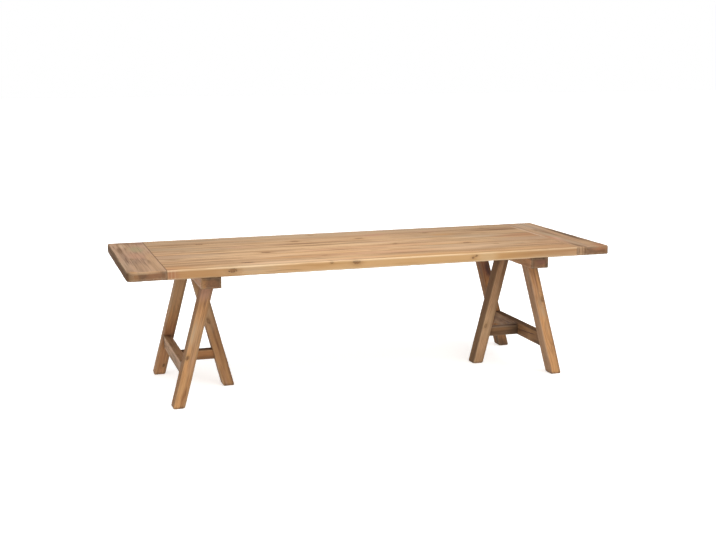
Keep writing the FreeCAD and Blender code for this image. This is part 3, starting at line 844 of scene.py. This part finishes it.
LOOKS["left_beam"] = dict(
    BEAM_GRAIN, light=TAN, seed=31.0, pith=(0.02, 0.05), cracks=(("edge", 0.1, 0.01, 0.2),),
    end_tone=0.12, end_patches=(
        (-0.5, 0.046, 0.02, 0.03, ORANGE, 0.45), (-0.5, -0.05, 0.02, 0.022, SOOT_AND_SHADE, 0.5),
        # The last end patch paints the shadow of the top along the top of the beam's end
        (-0.5, -0.01, 0.02, 0.09, SOOT_AND_SHADE, 0.85, 0.03, 0.022),
    ),
)

LOOKS["right_beam"] = dict(
    BEAM_GRAIN, light=TAN, seed=32.0, pith=(-0.02, 0.06), cracks=(("edge", -0.2, -0.01, 0.2),),
    patches=((-0.49, 0.0, 0.05, 0.08, PINK, 0.2),),
    end_tone=0.2, end_patches=(
        (-0.5, -0.02, 0.02, 0.06, MULBERRY, 0.8, 0.012, 0.026), (-0.5, 0.045, 0.02, 0.016, SOOT_AND_SHADE, 0.8),
        # The second patch on this line paints the shadow of the top along the top of the beam's end
        (-0.5, -0.05, 0.02, 0.02, SOOT_AND_SHADE, 0.9), (-0.5, 0.0, 0.02, 0.09, SOOT_AND_SHADE, 0.85, 0.03, 0.022),
    ),
)

# On these stretchers, the layer over the top face paints the shade under the table top, with some soil
LOOKS["left_outer_stretcher"] = dict(
    RAIL_GRAIN, light=DUN, seed=52.0, side_shade_and_soil=(("over", 0.3, SOOT_AND_SHADE),), pith=(0.06, 0.04),
    knots=(("edge", 0.12, 0.01, 0.009, 1.6, 0.8),),
    patches=((-0.1, 0.022, 0.32, 0.04, LOAM, 0.85, -0.036, 0.05),),
)

LOOKS["left_cross_stretcher"] = dict(
    RAIL_GRAIN, light=SIENNA, streak=0.5, blotch=0.5, seed=47.0, pith=(0.05, -0.05),
    side_shade_and_soil=(("over", 0.9, SOOT_AND_SHADE),), end_shade=((0.6, 0.085), (0.15, 0.04)),
    patches=((0.0, -0.027, 0.6, 0.04, UMBER, 0.75, -0.022, 0.012),),
)

LOOKS["right_outer_stretcher"] = dict(
    RAIL_GRAIN, light=BROWN, seed=43.0, side_shade_and_soil=(("over", 0.8, SOOT_AND_SHADE),), pith=(-0.05, 0.05),
    cracks=(("edge", -0.12, 0.004, 0.16, 0.005, 0.06),),
    patches=((0.12, 0.022, 0.12, 0.03, HEATHER, 0.7, -0.022, 0.018),),
    knots=(("edge", 0.16, -0.01, 0.01, 1.5, 0.8),),
)

LOOKS["right_cross_stretcher"] = dict(
    # Its very dark wood paints the deep shade under the table, the layer over its top face paints light,
    # and the darker right end paints shade at the joint
    RAIL_GRAIN, light=DEEP_SHADE_BROWN, blotch=0.4, seed=44.0, pith=(0.05, 0.06), side_shade_and_soil=(("over", 0.7, HEATHER),),
    end_shade=((0.6, 0.05), (0.95, 0.13)),
    patches=((0.0, -0.027, 0.25, 0.04, BROWN, 0.6, 0.012, 0.014),),
)


# Settings, by their kinds

def setting(kind, **limits):
    """A maker of settings of one kind, which takes the name, the description and the default of each."""
    def make(name, description, default):
        return kind(name=name, description=description, default=default, **limits)
    return make


Number = setting(bpy.props.FloatProperty, min=0.0)
Length = setting(bpy.props.FloatProperty, min=0.0, precision=4, unit="LENGTH")
Angle = setting(bpy.props.FloatProperty, subtype="ANGLE")
Place = setting(bpy.props.FloatVectorProperty, size=3, subtype="TRANSLATION", unit="LENGTH")
Direction = setting(bpy.props.FloatVectorProperty, size=3, subtype="XYZ")
Colour = setting(bpy.props.FloatVectorProperty, size=3, min=0.0, max=1.0, subtype="COLOR")


class TimberSettings(bpy.types.PropertyGroup):
    """How worn the timbers are."""

    top_arris: Length("Top arris", "Rounding of the top's free edges", 0.006)
    left_arris: Length("Left arris", "Rounding of the edges of the left breadboard's ends", 0.009)
    left_corner: Length("Left corner", "Rounding of the top's left corners in plan", 0.03)
    right_corner: Length("Right corner", "Rounding of the top's right corners in plan", 0.011)
    seam: Length("Seam", "Rounding of the edges along the seams", 0.0013)
    leg_arris: Length("Leg arris", "Rounding of the legs' edges", 0.0038)
    foot_arris: Length("Foot arris", "Rounding of the legs' feet", 0.01)
    rail_arris: Length("Rail arris", "Rounding of the edges of beams and stretchers", 0.0033)
    hollow: Length("Hollow", "Depth of the hollows in the faces", 0.0006)
    step: Length("Step", "Mean distance between the points of a timber's mesh", 0.0085)
    wear: Number("Wear", "How unevenly the arrises are worn", 0.8)


class PineSettings(bpy.types.PropertyGroup):
    """Colours and finish of the old pine."""

    # Pale also stands for a painted highlight along the free arrises
    pale: Colour("Pale", "Rubbed arrises", (0.84, 0.62, 0.38))
    grey: Colour("Grey", "Weathered blotches", (0.45, 0.325, 0.205))
    amber: Colour("Amber", "Resinous blotches", (0.54, 0.3, 0.13))
    pink: Colour("Pink", "Rosy blotches", (0.53, 0.295, 0.18))
    end_grain: Colour("End grain", "Dark end grain", (0.11, 0.052, 0.028))
    end_light: Colour("End light", "Light end grain", (0.23, 0.11, 0.052))
    dirt: Colour("Dirt", "Dirt in seams and cracks", (0.15, 0.08, 0.042))
    knot: Colour("Knot", "Wood of the knots", (0.3, 0.15, 0.062))
    knot_halo: Colour("Knot halo", "Resin-stained wood round the knots", (0.39, 0.205, 0.083))
    bark: Colour("Bark", "Bark round the knots", (0.085, 0.045, 0.024))
    peg_light: Colour("Peg light", "Light wood of pegs, splines and dowels", (0.56, 0.37, 0.2))
    peg_dark: Colour("Peg dark", "Dark wood of pegs, splines and dowels", (0.33, 0.19, 0.09))
    roughness: Number("Roughness", "Mean roughness of the waxed wood", 0.58)
    gloss: Number("Gloss", "Strength of the wax's reflection", 0.16)
    ring_strength: Number("Ring strength", "How dark the late wood of a ring is", 0.34)
    fibre_strength: Number("Fibre strength", "How dark the fibres are", 0.55)
    tone: Number("Tone", "Mean darkness between the light and the dark wood", 0.1)
    # How pale the free arrises are: wear, with a painted highlight along them
    rubbed_and_highlighted: Number("Rubbed", "How pale the free arrises are rubbed", 0.45)
    grime: Number("Grime", "How dark the seams are", 0.85)


class StudioSettings(bpy.types.PropertyGroup):
    """Camera, floor and light."""

    camera_place: Place("Camera place", "Where the camera stands", (-1.92966, -6.0864, 1.76524))
    camera_turn: Angle("Camera turn", "Turn of the camera to the right of +Y", math.radians(17.72))
    camera_dip: Angle("Camera dip", "How far the camera looks down", math.radians(10.25))
    camera_roll: Angle("Camera roll", "Roll of the camera", math.radians(-0.2))
    lens: Number("Lens", "Focal length in millimetres", 56.69)
    floor: Colour("Floor", "Colour of the floor", (0.965, 0.965, 0.96))
    floor_glow: Number("Floor glow", "How far the floor is lit from below", 0.64)
    surround: Number("Surround", "Mean light from all round", 0.54)
    surround_tilt: Direction(
        "Surround tilt", "How much more of that light comes from the right, the back and above",
        (-0.12, -0.16, 0.05),
    )
    key: Number("Key", "Light from the front", 1.58)
    overhead: Number("Overhead", "Light from above the middle of the top", 7.5)


# Operators

class TABLE_OT_field_boards(bpy.types.Operator):
    """Make the six boards of the field, with the sockets for the locating dowels"""

    bl_idname = "table.field_boards"
    bl_label = "Field boards"

    def execute(self, context):
        settings = context.scene.table_timber
        boards = [node for node in LOOKS if node.startswith("field_board_")]
        for number, node in enumerate(boards, 1):
            low, high = corners(node)
            low.x, high.x = -SEAM_X, SEAM_X
            board = make_timber(
                node, "table_top", f"field pine {number}",
                high - low, Matrix.Translation((low + high) / 2),
                rounding(
                    settings.seam,
                    front_arris=settings.top_arris if node == boards[0] else settings.seam,
                    back_arris=settings.top_arris if node == boards[-1] else settings.seam,
                ),
            )
            places = [place for place in dowel_places() if low.y < place.y < high.y]
            if places:
                bore(board, places, (low, high))
        return {"FINISHED"}


def dowel_places():
    """Where the locating dowels enter the underside of the top."""
    places = []
    for side in SIDES:
        low, high = corners(f"{side}_locating_dowels")
        radius = (high.x - low.x) / 2
        ys = (low.y + radius, high.y - radius)
        places += [Vector((low.x + radius, y, TOP_LOW.z)) for y in ys]
    return places


def mark_timber(mesh, low, high):
    """Write a board's places and half sizes, which its pine reads, on its points again."""
    middle = (low + high) / 2
    half = (high - low) / 2
    for name, read in (("timber", lambda point: point.co - middle), ("half", lambda point: half)):
        if name in mesh.attributes:
            mesh.attributes.remove(mesh.attributes[name])
        values = mesh.attributes.new(name, "FLOAT_VECTOR", "POINT")
        values.data.foreach_set("vector", [part for point in mesh.vertices for part in read(point)])


def bore(board, places, ends):
    """Bore blind sockets into a board from below. Ends are the board's lowest and highest corners."""
    drill = bmesh.new()
    for place in places:
        bmesh.ops.create_cone(
            drill, cap_ends=True, segments=SOCKET_SEGMENTS, radius1=SOCKET_RADIUS, radius2=SOCKET_RADIUS,
            depth=2 * SOCKET_DEPTH, matrix=Matrix.Translation(place),
        )
    mesh = bpy.data.meshes.new("drill")
    drill.to_mesh(mesh)
    drill.free()
    cutter = put("drill", mesh)
    cut = board.modifiers.new("sockets", "BOOLEAN")
    cut.operation = "DIFFERENCE"
    cut.solver = "EXACT"
    cut.object = cutter
    settle(board)
    mark_timber(board.data, *ends)
    bpy.data.objects.remove(cutter)
    bpy.data.meshes.remove(mesh)


class TABLE_OT_breadboards(bpy.types.Operator):
    """Make the two breadboard ends"""

    bl_idname = "table.breadboards"
    bl_label = "Breadboard ends"

    def execute(self, context):
        settings = context.scene.table_timber
        for side, way in SIDES.items():
            node = f"{side}_breadboard"
            low, high = corners(node)
            make_timber(
                node, "table_top", f"{side} breadboard pine",
                (high - low).yxz,
                axes((0, way, 0), (-way, 0, 0), (0, 0, 1), (low + high) / 2),
                rounding(
                    settings.seam,
                    front_arris=settings.top_arris,
                    end_arris=settings.left_arris if way < 0 else settings.top_arris,
                    front_corner=settings.left_corner if way < 0 else settings.right_corner,
                ),
            )
        return {"FINISHED"}


class TABLE_OT_beams(bpy.types.Operator):
    """Make the cross beam of each trestle"""

    bl_idname = "table.beams"
    bl_label = "Beams"

    def execute(self, context):
        shape = rounding(context.scene.table_timber.rail_arris)
        for side in SIDES:
            node = f"{side}_beam"
            low, high = corners(node)
            trestle_timber(
                node, (high - low).yxz,
                axes((0, 1, 0), (-1, 0, 0), (0, 0, 1), (low + high) / 2), shape,
            )
        return {"FINISHED"}


def level_thickness(spread):
    """The level thickness of a leg that leans by a spread over the height of the trestle."""
    return LEG_THICKNESS / math.cos(math.atan2(spread, BEAM_BOTTOM))


class TABLE_OT_legs(bpy.types.Operator):
    """Make the six splayed legs"""

    bl_idname = "table.legs"
    bl_label = "Legs"

    def execute(self, context):
        settings = context.scene.table_timber
        edge = settings.leg_arris
        shape = rounding(settings.foot_arris, front_arris=edge, back_arris=edge)
        height = BEAM_BOTTOM + HOUSED
        for node in (name for name in LOOKS if name.endswith("_leg")):
            way = SIDES[node.split("_")[0]]
            low, high = corners(node)
            spread = -INNER_FOOT_SPREAD if "inner" in node else OUTER_FOOT_SPREAD
            lean = -way * spread / BEAM_BOTTOM
            foot_x = way * (BEAM_X + spread)
            middle = (foot_x + lean * height / 2, (low.y + high.y) / 2, height / 2)
            trestle_timber(
                node, (height, high.y - low.y, level_thickness(spread)),
                axes((lean, 0, 1), (0, 1, 0), (-1, 0, 0), middle), shape,
            )
        return {"FINISHED"}


class TABLE_OT_stretchers(bpy.types.Operator):
    """Make the stretchers that tie each trestle's legs"""

    bl_idname = "table.stretchers"
    bl_label = "Stretchers"

    def execute(self, context):
        shape = rounding(context.scene.table_timber.rail_arris)
        for side, way in SIDES.items():
            self.outer(f"{side}_outer_stretcher", side, way, shape)
            self.cross(f"{side}_cross_stretcher", way, shape)
        return {"FINISHED"}

    def outer(self, node, side, way, shape):
        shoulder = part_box(f"{side}_back_leg")[0][1]
        thickness, height = OUTER_STRETCHER_SIZE
        middle = (way * OUTER_STRETCHER_X, 0, OUTER_STRETCHER_LEVEL)
        trestle_timber(
            node, (2 * (shoulder + HOUSED), thickness, height),
            axes((0, 1, 0), (-1, 0, 0), (0, 0, 1), middle), shape,
        )

    def cross(self, node, way, shape):
        thickness, height = CROSS_STRETCHER_SIZE
        lean = INNER_FOOT_SPREAD / BEAM_BOTTOM
        inner = BEAM_X - INNER_FOOT_SPREAD + lean * CROSS_STRETCHER_LEVEL
        inner += level_thickness(INNER_FOOT_SPREAD) / 2 - HOUSED - lean * height / 2
        outer = OUTER_STRETCHER_X - OUTER_STRETCHER_SIZE[0] / 2 + HOUSED
        trestle_timber(
            node, (outer - inner, thickness, height),
            Matrix.Translation((way * (inner + outer) / 2, 0, CROSS_STRETCHER_LEVEL)), shape,
        )


class TABLE_OT_pegs(bpy.types.Operator):
    """Give the pegs, splines and dowels their wood"""

    bl_idname = "table.pegs"
    bl_label = "Pegs, splines and dowels"

    def execute(self, context):
        wood = peg_wood()
        for node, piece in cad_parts.items():
            if node.endswith(("_pegs", "_dowels")) or "_spline_" in node:
                piece.data.materials.clear()
                piece.data.materials.append(wood)
        return {"FINISHED"}


# Sizes and places of the studio in metres, and the turn of its lights in degrees
FLOOR_HALF = 60.0
KEY_SPREAD = 60
KEY_TURN = (43, 0, 24)
OVERHEAD_SIZE = (1.0, 0.8)
OVERHEAD_PLACE = (-0.15, -0.25, 2.0)
FAR_END = 200.0

# In millimetres
SENSOR_WIDTH = 36.0


class TABLE_OT_studio(bpy.types.Operator):
    """Set the floor, the light and the camera"""

    bl_idname = "table.studio"
    bl_label = "Studio"

    def execute(self, context):
        scene = context.scene
        settings = scene.table_studio
        scene.view_settings.view_transform = "Standard"
        self.floor(settings)
        self.surround(scene, settings)
        self.lights(settings)
        self.camera(scene, settings)
        return {"FINISHED"}

    def floor(self, settings):
        mesh = bpy.data.meshes.new("floor")
        corner_ways = ((-1, -1), (1, -1), (1, 1), (-1, 1))
        mesh.from_pydata([(x * FLOOR_HALF, y * FLOOR_HALF, 0) for x, y in corner_ways], [], [(0, 1, 2, 3)])
        floor = put("floor", mesh)
        paint = bpy.data.materials.new("floor")
        start = fresh_tree(paint)
        white = opaque(settings.floor)
        surface(start, {
            "Base Color": white,
            "Roughness": 0.9,
            "Specular IOR Level": 0.1,
            "Emission Color": white,
            "Emission Strength": settings.floor_glow,
        })
        mesh.materials.append(paint)
        floor.visible_diffuse = False

    def surround(self, scene, settings):
        """A white background that gives only part of its light to the table."""
        world = bpy.data.worlds.new("studio")
        scene.world = world
        start = fresh_tree(world)
        seen = start.node("ShaderNodeLightPath", output="Is Camera Ray")
        way = start.node("ShaderNodeTexCoord", output="Generated")
        sockets = {0: way, 1: settings.surround_tilt}
        tilt = start.node("ShaderNodeVectorMath", {"operation": "DOT_PRODUCT"}, sockets, "Value")
        strength = (tilt + settings.surround).most(seen)
        light = start.node("ShaderNodeBackground", None, {"Color": (1, 1, 1, 1), "Strength": strength})
        start.node("ShaderNodeOutputWorld", None, {"Surface": light})

    def lights(self, settings):
        key = bpy.data.lights.new("key", "SUN")
        key.energy = settings.key
        key.angle = math.radians(KEY_SPREAD)
        put("key", key).rotation_euler = [math.radians(turn) for turn in KEY_TURN]
        overhead = bpy.data.lights.new("overhead", "AREA")
        overhead.shape = "RECTANGLE"
        overhead.size, overhead.size_y = OVERHEAD_SIZE
        overhead.energy = settings.overhead
        lamp = put("overhead", overhead)
        lamp.location = OVERHEAD_PLACE
        lamp.visible_camera = False

    def camera(self, scene, settings):
        lens = bpy.data.cameras.new("camera")
        lens.sensor_fit = "HORIZONTAL"
        lens.sensor_width = SENSOR_WIDTH
        lens.lens = settings.lens
        lens.clip_end = FAR_END
        camera = put("camera", lens)
        camera.matrix_world = (
            Matrix.Translation(settings.camera_place)
            @ Matrix.Rotation(-settings.camera_turn, 4, "Z")
            @ Matrix.Rotation(math.radians(90) - settings.camera_dip, 4, "X")
            @ Matrix.Rotation(settings.camera_roll, 4, "Z")
        )
        scene.camera = camera


class TABLE_PT_panel(bpy.types.Panel):
    """The table's settings and its operators"""

    bl_idname = "TABLE_PT_panel"
    bl_label = "Trestle table"
    bl_space_type = "VIEW_3D"
    bl_region_type = "UI"
    bl_category = "Table"

    def draw(self, context):
        for name in GROUPS:
            group = getattr(context.scene, name)
            box = self.layout.box()
            box.label(text=name.removeprefix("table_").capitalize())
            for setting in group.__annotations__:
                box.prop(group, setting)
        for operator in OPERATORS:
            self.layout.operator(operator.bl_idname)


GROUPS = {"table_timber": TimberSettings, "table_pine": PineSettings, "table_studio": StudioSettings}
OPERATORS = (
    TABLE_OT_field_boards, TABLE_OT_breadboards, TABLE_OT_beams, TABLE_OT_legs,
    TABLE_OT_stretchers, TABLE_OT_pegs, TABLE_OT_studio,
)


def register():
    for cls in (*GROUPS.values(), *OPERATORS, TABLE_PT_panel):
        bpy.utils.register_class(cls)
    for name, group in GROUPS.items():
        setattr(bpy.types.Scene, name, bpy.props.PointerProperty(type=group))


def unregister():
    for name in GROUPS:
        delattr(bpy.types.Scene, name)
    for cls in reversed((*GROUPS.values(), *OPERATORS, TABLE_PT_panel)):
        bpy.utils.unregister_class(cls)


def main():
    register()
    bpy.ops.table.field_boards()
    bpy.ops.table.breadboards()
    bpy.ops.table.beams()
    bpy.ops.table.legs()
    bpy.ops.table.stretchers()
    bpy.ops.table.pegs()
    bpy.ops.table.studio()


if __name__ == "__main__":
    main()
